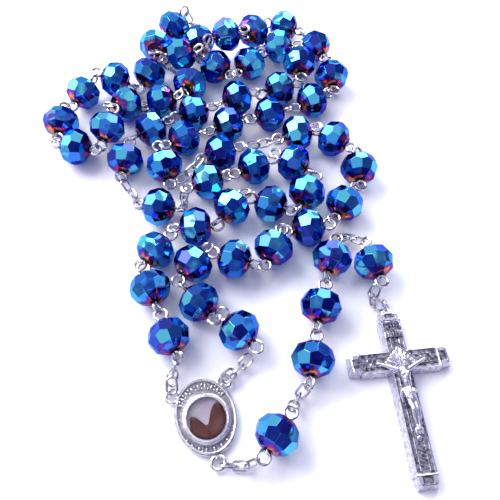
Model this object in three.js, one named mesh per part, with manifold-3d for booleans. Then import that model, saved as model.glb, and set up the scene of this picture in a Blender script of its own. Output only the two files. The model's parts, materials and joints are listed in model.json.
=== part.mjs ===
// A five-decade rosary of faceted glass beads on wire eye pins, laid down in a loose heap.
// Millimetres, +Z up. The origin is under the middle of the heap, on the surface that it lies on.
//
// The loop holds five decades of ten beads with a single Our Father bead between each two.
// Its two ends hang on the upper ears of a centre medal. The pendant leaves the medal's lower ear:
// one Our Father bead, three Hail Mary beads, one Our Father bead and the crucifix.
import * as THREE from 'three';
import { mergeVertices } from 'three/addons/utils/BufferGeometryUtils.js';
import Module from 'manifold-3d';

const wasm = await Module();
wasm.setup();

// ---- Driving dimensions ----
const BEAD_DIAMETER = 7.8;          // across the corners of the girdle
const BEAD_LENGTH = 6.0;            // along the bore
const BEAD_SIDES = 8;
const BEAD_END_DIAMETER = 3.5;      // flat end face round the hole
const BEAD_SHOULDER_DIAMETER = 6.52;
const BEAD_SHOULDER_LENGTH = 4.0;   // between the two shoulder rings
const GIRDLE_SWING = 0.4;           // how far the zigzag girdle's corners are from the bead's middle
const BORE_DIAMETER = 1.7;
const WIRE_DIAMETER = 0.66;
const WIRE_SIDES = 5;
const EYE_REACH = 4.4;              // bead centre to the centre of the eye at the pin's end
const EYE_GAP = { least: 1.0, most: 1.7 };   // between the centres of two linked eyes
const LINK_GAP = { least: 1.6, most: 2.45 }; // between the centres of two chain links
const MIXED_GAP = { least: 1.6, most: 2.05 }; // between an eye's centre and a link's
const LINKS_PER_CHAIN = 3;

const EAR_DIAMETER = 3.0;           // rings that a hook of wire hangs in
const EAR_HOLE_DIAMETER = 1.6;
const EAR_THICKNESS = 0.8;
const EAR_SIDES = 14;
const HOOK_TOP = 2.1;               // height of a hook's bend over a ring that lies flat

const MEDAL = {
  x: -7.2, y: -31.8, turn: 17,
  width: 10.9, height: 13.6, thickness: 1.6,
  bezelOuter: 8.4, bezelInner: 6.8, bezelStretch: 1.08, bezelDrop: 0.6, bezelTop: 2.3, windowTop: 2.9,
  upperEar: [4.75, 5.1], lowerEar: [0, -8.05],
};

const CRUCIFIX = {
  x: 27.4, y: -22.0, turn: 6.3,
  top: 9.6, foot: 21.7, halfSpan: 9.2,
  beamWidth: 4.5, endWidth: 3.9, endLength: 1.5, thickness: 2.4, edge: 0.45,
  eyeAbove: 1.2, eyeHeight: 1.6,
};

// ---- Routes, chosen by hand ----
// One row for each bead, in strand order: x, y and the heading of its bore in degrees.
const DECADES = [
  [[-14, -18.5, 108], [-18.5, -8, 101], [-18, -0.5, 50], [-10, 5.5, 4], [-3, 10, 48],
   [4.5, 10.5, -14], [12, 13.5, 61], [10, 21.5, 142], [1.5, 21, 208], [-9.5, 15.5, 190]],
  [[-26.5, 21.5, 75], [-21.5, 30, 46], [-11.5, 35.5, 13], [-2.5, 39, 30], [8, 42, 20],
   [11.5, 48.5, 105], [5.5, 55.5, 190], [1, 48.5, 235], [-6.5, 46, 146], [-10, 58, 100]],
  [[-21.5, 56, 235], [-22.5, 48, 246], [-30, 45.5, 185], [-36.5, 41.5, 215], [-40.5, 33, 268],
   [-37, 24.5, 8], [-30.5, 30, 52], [-27.5, 37.5, 15], [-18, 39, 5], [-13.5, 45, 137]],
  [[-7, 54, 15], [-0.5, 59, 73], [6.5, 63.5, -10], [15, 57.5, -54], [19, 45, -85],
   [15, 38, 170], [4, 33.5, 196], [-4, 31.5, 193], [-14.5, 27, 209], [-18.5, 19.5, -75]],
  [[11, 30, 8], [18.5, 27.5, -12], [23.5, 19.5, -94], [19.5, 11, -111], [11, 5, 215],
   [5, 0.5, 240], [-2.5, -2, 160], [-9.5, -3, 231], [-9, -11.5, -57], [-1.5, -17, -41]],
];
const OUR_FATHERS = [[-18, 9.5, 180], [-18, 62.5, 205], [-14, 52, 5], [-6, 23.5, 13]];
const PENDANT = [[5, -35.5, 57], [11.5, -23, 87], [13.5, -12.5, 84], [16.5, -1, 62], [24.5, -3, -77]];

// Where the middle of each chain lies, in strand order, from the medal's left ear to its right ear.
const LOOP_CHAINS = [[-13.5, -25], [-13, 12.5], [-24, 14], [-14, 66], [-19, 55],
  [-18, 49], [-11, 53], [-13, 20], [3, 27], [-1, -23]];
// The same for the pendant: medal to bead, bead to Hail Marys, Hail Marys to bead, bead to crucifix.
const PENDANT_CHAINS = [[-0.5, -39], [8.5, -29], [20.5, 4.5], [23, -10]];

// ---- Materials ----
const glass = new THREE.MeshStandardMaterial({ color: 0x2a86d8, roughness: 0.08, metalness: 0.3 });
const silver = new THREE.MeshStandardMaterial({ color: 0xb9b7c0, roughness: 0.32, metalness: 1 });

// ---- Small helpers ----
const vec = (x, y, z = 0) => new THREE.Vector3(x, y, z);
const radians = THREE.MathUtils.degToRad;
const heading = (degrees) => vec(Math.cos(radians(degrees)), Math.sin(radians(degrees)));
const turned = (point, degrees) => point.applyAxisAngle(vec(0, 0, 1), radians(degrees));

/** A closed three.js geometry as a manifold solid. */
function solid(geometry, matrix = new THREE.Matrix4()) {
  const copy = geometry.clone().applyMatrix4(matrix);
  copy.deleteAttribute('normal');
  copy.deleteAttribute('uv');
  const merged = mergeVertices(copy, 1e-4);
  const corners = merged.index.array;
  const triangles = [];
  for (let i = 0; i < corners.length; i += 3) {
    const [a, b, c] = [corners[i], corners[i + 1], corners[i + 2]];
    if (a !== b && b !== c && c !== a) triangles.push(a, b, c);
  }
  return new wasm.Manifold(new wasm.Mesh({
    numProp: 3,
    vertProperties: new Float32Array(merged.attributes.position.array),
    triVerts: new Uint32Array(triangles),
  }));
}

/** A manifold solid as a three.js geometry. */
function geometryOf(manifold) {
  const mesh = manifold.getMesh();
  const geometry = new THREE.BufferGeometry();
  geometry.setAttribute('position', new THREE.BufferAttribute(new Float32Array(mesh.vertProperties), 3));
  geometry.setIndex(Array.from(mesh.triVerts));
  geometry.computeVertexNormals();
  return geometry;
}

const joined = (solids) => solids.reduce((sum, next) => sum.add(next));

/** The matrix that stands a shape made along +Y on `centre`, along `axis`. */
function along(centre, axis) {
  const quaternion = new THREE.Quaternion().setFromUnitVectors(vec(0, 1, 0), axis);
  return new THREE.Matrix4().compose(centre, quaternion, vec(1, 1, 1));
}

// ---- The heap: where every bead, eye and chain link comes to rest ----

/** The knots of one strand: two eyes for each bead, and three links for each chain. */
function knotsOf(start, beads, chains, end) {
  const knots = [{ at: start, held: true }];
  for (const item of beads) {
    if (item.chainBefore) {
      const middle = chains.shift();
      for (let n = 0; n < LINKS_PER_CHAIN; n += 1) {
        knots.push({ at: vec(middle[0], middle[1], 1.2), link: true, wanted: n === 1 ? middle : null });
      }
    }
    if (item.route) {
      const centre = vec(item.route[0], item.route[1], BEAD_DIAMETER / 2);
      const reach = heading(item.route[2]).multiplyScalar(EYE_REACH);
      knots.push({ at: centre.clone().sub(reach), eye: true, bead: item });
      knots.push({ at: centre.clone().add(reach), eye: true, bead: item });
    }
  }
  knots.push({ at: end, held: true });
  // Links start out spread along the line between what they join, through their middle.
  for (let i = 1; i + 3 < knots.length; i += 1) {
    if (!knots[i].link || knots[i - 1].link) continue;
    knots[i].at.lerp(knots[i - 1].at, 0.5);
    knots[i + 2].at.lerp(knots[i + 3].at, 0.5);
  }
  return knots;
}

/** Moves a and b apart or together until they are between `least` and `most` from each other. */
function space(a, b, least, most, shareA = 0.5) {
  const between = b.clone().sub(a);
  const length = Math.max(between.length(), 1e-6);
  const target = Math.min(Math.max(length, least), most);
  between.multiplyScalar((target - length) / length);
  a.addScaledVector(between, -shareA);
  b.addScaledVector(between, 1 - shareA);
}

/** Lets the strands settle: rods keep their length, and beads stay out of each other. */
function settle(strands) {
  const rounds = 3000;
  const pull = 0.012;
  const beadSpace = BEAD_DIAMETER + 0.25;
  const eyeSpace = BEAD_DIAMETER / 2 + 1.25;
  const knotSpace = 1.9;
  const rods = [];
  for (const knots of strands) {
    knots.forEach((knot, i) => {
      if (knot.eye && knots[i + 1].bead === knot.bead) rods.push({ a: knot.at, b: knots[i + 1].at, bead: knot.bead, knots, i });
    });
  }
  for (let round = 0; round < rounds; round += 1) {
    const ease = round < rounds * 0.8 ? pull * (1 - round / (rounds * 0.8)) : 0;
    for (const rod of rods) {
      const [x, y] = rod.bead.route;
      const centre = rod.a.clone().lerp(rod.b, 0.5);
      const shift = vec(x - centre.x, y - centre.y, BEAD_DIAMETER / 2 - centre.z).multiplyScalar(ease);
      rod.a.add(shift);
      rod.b.add(shift);
    }
    for (const knots of strands) {
      for (let i = 0; i + 1 < knots.length; i += 1) {
        const [a, b] = [knots[i], knots[i + 1]];
        if (a.wanted) a.at.add(vec(a.wanted[0] - a.at.x, a.wanted[1] - a.at.y, 1.2 - a.at.z).multiplyScalar(ease));
        if (a.bead && a.bead === b.bead) continue;
        const gap = [EYE_GAP, MIXED_GAP, LINK_GAP][Number(Boolean(a.link)) + Number(Boolean(b.link))];
        const shareA = a.held ? 0 : b.held ? 1 : 0.5;
        space(a.at, b.at, gap.least, gap.most, shareA);
        if (i + 2 < knots.length && (a.link || b.link)) {
          const share = a.held ? 0 : knots[i + 2].held ? 1 : 0.5;
          space(a.at, knots[i + 2].at, knotSpace, Infinity, share);
        }
      }
    }
    for (let m = 0; m < rods.length; m += 1) {
      const rod = rods[m];
      const middle = rod.a.clone().lerp(rod.b, 0.5);
      for (let n = m + 1; n < rods.length; n += 1) {
        const other = rods[n];
        const otherMiddle = other.a.clone().lerp(other.b, 0.5);
        const apart = middle.distanceTo(otherMiddle);
        if (apart >= beadSpace) continue;
        const push = otherMiddle.clone().sub(middle).multiplyScalar((beadSpace - apart) / (2 * Math.max(apart, 1e-6)));
        rod.a.sub(push);
        rod.b.sub(push);
        other.a.add(push);
        other.b.add(push);
        middle.sub(push);
      }
      for (const knots of strands) {
        for (let i = 0; i < knots.length; i += 1) {
          const knot = knots[i];
          if (knot.held || knot.bead === rod.bead) continue;
          const near = knots === rod.knots && Math.abs(i - rod.i) <= 2;
          const least = near ? BEAD_DIAMETER / 2 + 0.6 : eyeSpace;
          const away = knot.at.clone().sub(middle);
          const length = Math.max(away.length(), 1e-6);
          if (length < least) {
            away.multiplyScalar((least - length) / length / 2);
            knot.at.add(away);
            rod.a.sub(away);
            rod.b.sub(away);
          }
        }
      }
    }
    for (const rod of rods) {
      space(rod.a, rod.b, 2 * EYE_REACH, 2 * EYE_REACH);
      const lift = Math.max(0, BEAD_DIAMETER / 2 - (rod.a.z + rod.b.z) / 2);
      rod.a.z += lift;
      rod.b.z += lift;
    }
    for (const knots of strands) {
      for (const knot of knots) {
        if (!knot.held) knot.at.z = Math.max(knot.at.z, knot.link ? 0.9 : 1.6);
      }
    }
  }
  return rods;
}

// ---- Places on the medal and the crucifix ----
const onMedal = ([x, y], z = 0) => turned(vec(x, y, z), MEDAL.turn).add(vec(MEDAL.x, MEDAL.y));
const onCrucifix = ([x, y], z = 0) => turned(vec(x, y, z), CRUCIFIX.turn).add(vec(CRUCIFIX.x, CRUCIFIX.y));
const EAR_HEIGHT = 0.8;
const [earX, earY] = MEDAL.upperEar;
const leftEar = onMedal([-earX, earY], EAR_HEIGHT);
const rightEar = onMedal([earX, earY], EAR_HEIGHT);
const lowerEar = onMedal(MEDAL.lowerEar, EAR_HEIGHT);
const crucifixEye = onCrucifix([0, CRUCIFIX.top + CRUCIFIX.eyeAbove], CRUCIFIX.eyeHeight);
const crucifixRight = turned(vec(1, 0), CRUCIFIX.turn);

// ---- Strands ----
const loopBeads = [];
DECADES.forEach((rows, decade) => {
  rows.forEach((route, n) => {
    const name = `decade_${decade + 1}_bead_${String(n + 1).padStart(2, '0')}`;
    loopBeads.push({ name, route, chainBefore: n === 0 });
  });
  if (decade < OUR_FATHERS.length) {
    loopBeads.push({ name: `our_father_bead_${decade + 1}`, route: OUR_FATHERS[decade], chainBefore: true });
  }
});
const pendantBeads = PENDANT.map((route, n) => ({ route, chainBefore: n !== 2 && n !== 3 }));
const hookTop = (centre) => centre.clone().setZ(centre.z + HOOK_TOP - EAR_HEIGHT);
const barStart = crucifixEye.clone().addScaledVector(crucifixRight, -1.7);
const barEnd = crucifixEye.clone().addScaledVector(crucifixRight, 1.1);

const lastChain = { chainBefore: true };
const loop = knotsOf(hookTop(leftEar), [...loopBeads, lastChain], [...LOOP_CHAINS], hookTop(rightEar));
const pendant = knotsOf(hookTop(lowerEar), [...pendantBeads, lastChain], [...PENDANT_CHAINS], barStart);
const rods = settle([loop, pendant]);

// ---- Wire ----

/** A curve that takes one step from each station to the next, and turns by half at each. */
class Stations extends THREE.Curve {
  constructor(points) {
    super();
    this.points = points;
    this.steps = points.length - 1;
  }

  getPoint(t) {
    const i = Math.min(Math.floor(t * this.steps), this.steps - 1);
    return this.points[i].clone().lerp(this.points[i + 1], t * this.steps - i);
  }

  getTangent(t) {
    const i = Math.round(t * this.steps);
    const here = this.points[i];
    const inward = here.clone().sub(this.points[Math.max(i - 1, 0)]).normalize();
    const outward = this.points[Math.min(i + 1, this.steps)].clone().sub(here).normalize();
    return inward.add(outward).normalize();
  }

  getUtoTmapping(u) {
    return u;
  }
}

/** The route with each corner cut into two gentler ones. */
function rounded(points) {
  const cut = 0.4;
  const route = [points[0]];
  for (let i = 1; i + 1 < points.length; i += 1) {
    const back = points[i - 1].clone().sub(points[i]);
    const ahead = points[i + 1].clone().sub(points[i]);
    route.push(points[i].clone().addScaledVector(back.clone().normalize(), Math.min(cut, back.length() * 0.35)));
    route.push(points[i].clone().addScaledVector(ahead.clone().normalize(), Math.min(cut, ahead.length() * 0.35)));
  }
  route.push(points[points.length - 1]);
  return route;
}

function wire(points) {
  const section = new THREE.Shape();
  for (let n = 0; n < WIRE_SIDES; n += 1) {
    const angle = (2 * Math.PI * n) / WIRE_SIDES;
    section.lineTo((Math.cos(angle) * WIRE_DIAMETER) / 2, (Math.sin(angle) * WIRE_DIAMETER) / 2);
  }
  section.curves.shift();
  section.closePath();
  const path = new Stations(rounded(points));
  return new THREE.ExtrudeGeometry(section, { steps: path.steps, extrudePath: path, bevelEnabled: false });
}

/** The free end of a wire: it drops through the hole of a ring that lies flat. */
const hookIn = (centre) => [centre.clone().setZ(centre.z - EAR_THICKNESS / 2 - 0.1), hookTop(centre)];

/** A flat ring, centred on `centre`, with its hole along `axis`. */
function ear(centre, axis = vec(0, 0, 1)) {
  const disc = new THREE.Shape().absarc(0, 0, EAR_DIAMETER / 2, 0, 2 * Math.PI);
  disc.holes.push(new THREE.Path().absarc(0, 0, EAR_HOLE_DIAMETER / 2, 0, 2 * Math.PI, true));
  const ring = new THREE.ExtrudeGeometry(disc, {
    depth: EAR_THICKNESS, bevelEnabled: false, curveSegments: EAR_SIDES / 2,
  });
  ring.translate(0, 0, -EAR_THICKNESS / 2);
  const quaternion = new THREE.Quaternion().setFromUnitVectors(vec(0, 0, 1), axis);
  return solid(ring, new THREE.Matrix4().compose(centre, quaternion, vec(1, 1, 1)));
}

// ---- Beads ----

/** A faceted rondelle with its bore along Y. Its two halves are ground half a facet apart. */
function beadSolid(bored) {
  const half = BEAD_LENGTH / 2;
  const shoulder = [BEAD_SHOULDER_DIAMETER / 2, BEAD_SHOULDER_LENGTH / 2];
  // A half's main facets run on past the middle, and meet the other half's there in a zigzag.
  const slope = (BEAD_DIAMETER / 2 - shoulder[0]) / (shoulder[1] - GIRDLE_SWING);
  const reach = shoulder[0] + slope * (half + shoulder[1]);
  const outline = [[0, -half], [reach, -half], shoulder, [BEAD_END_DIAMETER / 2, half], [0, half]];
  const cone = new THREE.LatheGeometry(outline.map(([r, y]) => new THREE.Vector2(r, y)), BEAD_SIDES);
  const upper = solid(cone);
  const lower = solid(cone, new THREE.Matrix4().makeRotationX(Math.PI)
    .premultiply(new THREE.Matrix4().makeRotationY(Math.PI / BEAD_SIDES)));
  const bead = upper.intersect(lower);
  if (!bored) return bead;
  const bore = new THREE.CylinderGeometry(BORE_DIAMETER / 2, BORE_DIAMETER / 2, BEAD_LENGTH * 1.5, BEAD_SIDES);
  return bead.subtract(solid(bore));
}

const boredBead = geometryOf(beadSolid(true));
const wholeBead = geometryOf(beadSolid(false));

function placeOf(rod) {
  const centre = rod.a.clone().lerp(rod.b, 0.5);
  return along(centre, rod.b.clone().sub(rod.a).normalize());
}

// ---- Medal: an oval plate with three ears, and a raised bezel round a domed window ----
function medalGeometry() {
  const oval = new THREE.Shape().absellipse(0, 0, MEDAL.width / 2, MEDAL.height / 2, 0, 2 * Math.PI);
  const rim = 0.3;
  const plate = new THREE.ExtrudeGeometry(oval, {
    depth: MEDAL.thickness - rim, bevelThickness: rim, bevelSize: rim, bevelOffset: -rim,
    bevelSegments: 1, curveSegments: 14,
  });
  const parts = [solid(plate, new THREE.Matrix4().makeTranslation(0, 0, rim))
    .trimByPlane([0, 0, 1], rim).translate([0, 0, -rim])];
  const bezel = new THREE.LatheGeometry([
    [0, 1.0], [MEDAL.bezelOuter / 2, 1.0], [MEDAL.bezelOuter / 2 - 0.1, MEDAL.bezelTop],
    [MEDAL.bezelInner / 2, MEDAL.bezelTop], [MEDAL.bezelInner / 2 - 0.3, 2.1], [2.0, 2.6], [0, MEDAL.windowTop],
  ].map(([r, y]) => new THREE.Vector2(r, y)), 24);
  parts.push(solid(bezel, new THREE.Matrix4().makeRotationX(Math.PI / 2)
    .premultiply(new THREE.Matrix4().makeScale(1, MEDAL.bezelStretch, 1).setPosition(0, -MEDAL.bezelDrop, 0))));
  const placed = [];
  const turn = new THREE.Matrix4().makeRotationZ(radians(MEDAL.turn)).setPosition(MEDAL.x, MEDAL.y, 0);
  for (const part of parts) placed.push(solid(geometryOf(part), turn));
  return geometryOf(joined([...placed, ear(leftEar), ear(rightEar), ear(lowerEar)]));
}

// ---- Crucifix: one casting with its raised figure, and an eye that stands on its top end ----
function crucifixGeometry() {
  const { top, foot, halfSpan, beamWidth, endWidth, endLength, thickness, edge } = CRUCIFIX;
  const [beam, end] = [beamWidth / 2, endWidth / 2];
  // The quarter outline of one arm's end, out along the arm and across it.
  const armEnd = (reach) => [
    [beam, reach - endLength], [end, reach - endLength], [end, reach - 0.6], [end - 0.6, reach],
  ];
  const corners = [[beam, beam]];
  const arm = (reach, place) => [...armEnd(reach).map(([w, l]) => place(-w, l)),
    ...armEnd(reach).reverse().map(([w, l]) => place(w, l))];
  const outline = [
    ...arm(top, (w, l) => [w, l]), corners[0],
    ...arm(halfSpan, (w, l) => [l, -w]), [beam, -beam],
    ...arm(foot, (w, l) => [-w, -l]), [-beam, -beam],
    ...arm(halfSpan, (w, l) => [-l, w]), [-beam, beam],
  ];
  const shape = new THREE.Shape(outline.map(([x, y]) => new THREE.Vector2(x, y)));
  const body = new THREE.ExtrudeGeometry(shape, {
    depth: thickness - edge, bevelThickness: edge, bevelSize: edge, bevelOffset: -edge, bevelSegments: 1,
  });
  const cross = solid(body).trimByPlane([0, 0, 1], 0);
  const limb = (from, to, radius) => {
    const [a, b] = [vec(...from), vec(...to)];
    const capsule = new THREE.CapsuleGeometry(radius, a.distanceTo(b), 2, 8);
    return solid(capsule, along(a.clone().lerp(b, 0.5), b.clone().sub(a).normalize()));
  };
  const figure = [
    limb([0.2, -0.7, 3.1], [0.2, -1.1, 3.1], 0.95),
    limb([0.1, -2.2, 2.8], [0.1, -5.4, 2.8], 1.1),
    limb([-0.2, -6.2, 2.8], [0.2, -6.8, 2.8], 1.2),
    limb([0.65, -7.0, 2.5], [0.55, -12.4, 2.5], 0.7),
    limb([-0.15, -7.0, 2.5], [0.15, -12.4, 2.5], 0.7),
    limb([0.9, -2.0, 2.6], [4.1, -0.5, 2.6], 0.5),
    limb([-0.9, -2.0, 2.6], [-4.1, -0.5, 2.6], 0.5),
  ];
  const turn = new THREE.Matrix4().makeRotationZ(radians(CRUCIFIX.turn)).setPosition(CRUCIFIX.x, CRUCIFIX.y, 0);
  const casting = joined([cross, ...figure]);
  return geometryOf(joined([solid(geometryOf(casting), turn), ear(crucifixEye, crucifixRight)]));
}

// ---- Pendant: three lengths of strand, each ending in a ring that the next one hooks into ----
const places = (knots) => knots.map((knot) => knot.at);
const linkIndices = pendant.flatMap((knot, i) => (knot.link ? [i] : []));
const middleOf = (chain) => linkIndices[chain * LINKS_PER_CHAIN + 1];
const [ringB, ringC] = [middleOf(1), middleOf(2)];
for (const index of [ringB, ringC]) {
  pendant[index].at.z = EAR_HEIGHT;
  pendant[index + 1].at.z = HOOK_TOP;
}
for (const knots of [loop, pendant]) knots[1].at.z = HOOK_TOP;
loop[loop.length - 2].at.z = HOOK_TOP;

/** The wire's last stretch: it stops inside the wall of the ring that it carries. */
function toRing(points, centre) {
  const before = points[points.length - 1];
  const wall = (EAR_DIAMETER + EAR_HOLE_DIAMETER) / 4;
  const inward = before.clone().sub(centre).setZ(0).normalize();
  return [...points, centre.clone().addScaledVector(inward, wall + 0.15)];
}

function pendantLength(points, beadRods, ring) {
  const parts = [solid(wire(ring ? toRing(points, ring) : points))];
  for (const rod of beadRods) parts.push(solid(wholeBead, placeOf(rod)));
  if (ring) parts.push(ear(ring));
  return geometryOf(joined(parts));
}

const pendantRods = rods.filter((rod) => rod.knots === pendant);
const route = places(pendant);

// ---- The rosary ----
const rosary = new THREE.Group();
const heap = new THREE.Group();
rosary.add(heap);

function add(name, geometry, material) {
  const mesh = new THREE.Mesh(geometry, material);
  mesh.name = name;
  heap.add(mesh);
  return mesh;
}

for (const rod of rods.filter((each) => each.knots === loop)) {
  add(rod.bead.name, boredBead, glass).applyMatrix4(placeOf(rod));
}
const loopRoute = [...hookIn(leftEar), ...places(loop).slice(1, -1), ...hookIn(rightEar).reverse()];
add('loop_wire', wire(loopRoute), silver);
add('centre_medal', medalGeometry(), silver);
add('pendant_our_father_1', pendantLength(
  [...hookIn(lowerEar), ...route.slice(1, ringB)], pendantRods.slice(0, 1), route[ringB],
), glass);
add('pendant_hail_marys', pendantLength(
  [...hookIn(route[ringB]), ...route.slice(ringB + 1, ringC)], pendantRods.slice(1, 4), route[ringC],
), glass);
add('pendant_our_father_2', pendantLength(
  [...hookIn(route[ringC]), ...route.slice(ringC + 1), barEnd], pendantRods.slice(4), null,
), glass);
add('crucifix', crucifixGeometry(), silver);

const bounds = new THREE.Box3().setFromObject(heap, true);
heap.position.set(-(bounds.min.x + bounds.max.x) / 2, -(bounds.min.y + bounds.max.y) / 2, -bounds.min.z);

// Where each length of the pendant turns: a hook in a ring, or the crucifix's eye on its bar.
const pivot = (at, axis) => ({ at: at.clone().add(heap.position), axis: axis.clone() });
rosary.userData.pivots = {
  pendant_swing: pivot(lowerEar, vec(0, 0, 1)),
  hail_marys_swing: pivot(route[ringB], vec(0, 0, 1)),
  our_father_swing: pivot(route[ringC], vec(0, 0, 1)),
  crucifix_lift: pivot(crucifixEye, crucifixRight),
};
rosary.userData.restingFaces = {
  medal_back: onMedal([0, 0]).add(heap.position),
  crucifix_back: onCrucifix([0, 0]).add(heap.position),
};

export default rosary;
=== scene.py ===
"""Blender looks for a five-decade rosary of coated glass beads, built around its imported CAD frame."""

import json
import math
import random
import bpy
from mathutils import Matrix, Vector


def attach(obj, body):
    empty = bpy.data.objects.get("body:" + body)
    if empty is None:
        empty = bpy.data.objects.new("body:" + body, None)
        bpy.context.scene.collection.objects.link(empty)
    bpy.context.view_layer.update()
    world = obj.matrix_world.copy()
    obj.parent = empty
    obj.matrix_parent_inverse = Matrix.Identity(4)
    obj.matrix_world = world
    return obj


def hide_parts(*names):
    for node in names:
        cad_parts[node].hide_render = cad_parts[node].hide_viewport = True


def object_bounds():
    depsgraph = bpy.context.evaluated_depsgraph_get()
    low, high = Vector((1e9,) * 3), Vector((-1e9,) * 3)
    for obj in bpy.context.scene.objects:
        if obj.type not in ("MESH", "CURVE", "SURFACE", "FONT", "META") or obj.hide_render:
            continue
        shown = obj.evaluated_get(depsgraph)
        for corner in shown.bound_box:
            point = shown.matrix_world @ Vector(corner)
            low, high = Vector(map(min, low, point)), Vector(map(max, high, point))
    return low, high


bl_info = {
    "name": "Rosary",
    "version": (1, 0, 0),
    "blender": (4, 5, 0),
    "location": "View3D > Sidebar > Rosary",
    "description": "Builds the beads, eye pins, chain, medal and crucifix of a rosary",
    "category": "Object",
}

import bmesh
import bpy
import numpy as np
from mathutils import Matrix, Quaternion, Vector

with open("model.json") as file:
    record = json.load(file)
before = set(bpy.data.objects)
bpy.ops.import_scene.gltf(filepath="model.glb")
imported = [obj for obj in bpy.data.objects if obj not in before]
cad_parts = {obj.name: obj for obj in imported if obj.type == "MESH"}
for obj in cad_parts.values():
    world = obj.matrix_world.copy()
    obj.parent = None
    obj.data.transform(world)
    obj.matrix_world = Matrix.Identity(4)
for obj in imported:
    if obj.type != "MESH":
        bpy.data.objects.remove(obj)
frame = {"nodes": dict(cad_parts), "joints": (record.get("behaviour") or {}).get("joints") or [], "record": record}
CAD_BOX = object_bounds()

MM = 0.001
UP = Vector((0, 0, 1))

# Sizes that the beads and pins share with the frame, in millimetres.
EYE_REACH = 4.4
BEAD_DIAMETER = 7.8
BEAD_LENGTH = 6.0
FACETS_ROUND = 10
LINKS_PER_CHAIN = 3
LINK_PITCH = 2.35
HOOK_END = 0.45  # height that only the loop wire's two ends are below
FLOOR_CLEARANCE = 0.05
MEDAL_WIDTH, MEDAL_HEIGHT, MEDAL_TURN = 10.9, 13.6, 17.0
BEZEL_STRETCH, BEZEL_DROP = 1.08, 0.6
CROSS_TOP, CROSS_FOOT, CROSS_SPAN, CROSS_TURN = 9.3, 21.4, 8.8, 6.3
CROSS_FACE = 3.6  # width of a beam's face; its back is wider
END_BLOCK = 1.5  # length of the block at the end of each arm
LOZENGE = 3.5
EAR_RADIUS, EAR_WIRE = 1.15, 0.72
CROSS_EYE_RADIUS, CROSS_EYE_WIRE = 1.2, 0.64
SOIL_REACH = 3.22  # radius of the capsule that the earth lies in
CAMERA_TARGET = (4.75, -11.77, 4.0)  # from the middle of the frame's box, and up from its lowest point
CHANCE_SEED = 59


# ---------------------------------------------------------------- settings


def length_prop(name, description, default):
    """A length in millimetres."""
    return bpy.props.FloatProperty(name=name, description=description, default=default, min=0.0)


def colour_prop(name, description, default):
    """A colour, as an sRGB hex value."""
    return bpy.props.StringProperty(name=name, description=description, default=default)


class BeadSettings(bpy.types.PropertyGroup):
    hole: length_prop("Hole", "Diameter of the bore at a bead's end, mm", 1.5)
    end_face: length_prop("End face", "Diameter of the flat round the hole, mm", 3.5)
    edge: length_prop("Facet edge", "Width of the softened edge between two facets, mm", 0.02)
    coating: colour_prop("Coating", "Azure of the metallic coating", "#2E80D6")
    coating_deep: colour_prop("Deep coating", "Navy of the thicker coating on some facets", "#26329A")
    coating_thin: colour_prop("Thin coating", "Teal of the thinner coating on some facets", "#58BED0")
    coating_edge: colour_prop("Coating edge", "Violet of the coating at a glancing angle", "#8C9CFF")
    bloom_inner: colour_prop("Bloom inner", "Gold of the coating at the hole", "#C47C44")
    bloom_middle: colour_prop("Bloom middle", "Magenta ring outside the gold", "#9A2A4C")
    bloom_outer: colour_prop("Bloom outer", "Violet ring outside the magenta", "#3C1C9C")
    bore: colour_prop("Bore", "Ground glass inside the hole", "#3A302E")


class WireSettings(bpy.types.PropertyGroup):
    pin: length_prop("Pin wire", "Diameter of the eye pins' wire, mm", 0.6)
    eye: length_prop("Eye", "Diameter of an eye, to the middle of its wire, mm", 2.3)
    link_wire: length_prop("Link wire", "Diameter of the chain's wire, mm", 0.5)
    link_length: length_prop("Link length", "Length of a link, to the middle of its wire, mm", 2.95)
    link_width: length_prop("Link width", "Width of a link, to the middle of its wire, mm", 1.8)
    silver: colour_prop("Silver", "Bright plated wire", "#C6C4CC")


class MedalSettings(bpy.types.PropertyGroup):
    silver: colour_prop("Silver", "Raised faces of the medal", "#DCDAE0")
    tarnish: colour_prop("Tarnish", "Antiquing in the medal's recesses", "#76717E")
    soil: colour_prop("Soil", "Earth under the window", "#56241F")
    soil_light: colour_prop("Light soil", "Paler grains in the earth", "#7A4038")
    soil_dark: colour_prop("Dark soil", "Darkest grains in the earth", "#260E0D")
    lining: colour_prop("Lining", "Grey card behind the earth", "#A9A3B0")


class CrucifixSettings(bpy.types.PropertyGroup):
    silver: colour_prop("Silver", "Raised faces of the crucifix", "#D6D4E2")
    tarnish: colour_prop("Tarnish", "Dark antiquing in the recesses", "#2E2842")


class StageSettings(bpy.types.PropertyGroup):
    elevation: bpy.props.FloatProperty(
        name="Elevation", description="Height of the camera above the horizon",
        default=math.radians(60.7), subtype="ANGLE",
    )
    distance: length_prop("Distance", "Camera to the point that it looks at, mm", 117.0)
    lens: bpy.props.FloatProperty(name="Lens", description="Focal length, mm", default=43.2, min=1.0)
    floor: colour_prop("Floor", "Pale surface that the rosary lies on", "#FBFAFF")


# ---------------------------------------------------------------- small tools


def linear(hex_colour):
    """An sRGB hex colour as linear RGBA."""
    channels = [int(hex_colour[i : i + 2], 16) / 255 for i in (1, 3, 5)]
    return [c / 12.92 if c <= 0.04045 else ((c + 0.055) / 1.055) ** 2.4 for c in channels] + [1.0]


def add_node(tree, kind, settings=None, inputs=None):
    """Adds a node, sets its properties, and gives each named input a value or another node's output."""
    node = tree.nodes.new(kind)
    for key, value in (settings or {}).items():
        setattr(node, key, value)
    for key, value in (inputs or {}).items():
        if isinstance(value, bpy.types.NodeSocket):
            tree.links.new(value, node.inputs[key])
        else:
            node.inputs[key].default_value = value
    return node


def new_material(name):
    """An empty node material and its tree."""
    material = bpy.data.materials.new(name)
    material.use_nodes = True
    material.node_tree.nodes.clear()
    return material, material.node_tree


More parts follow.
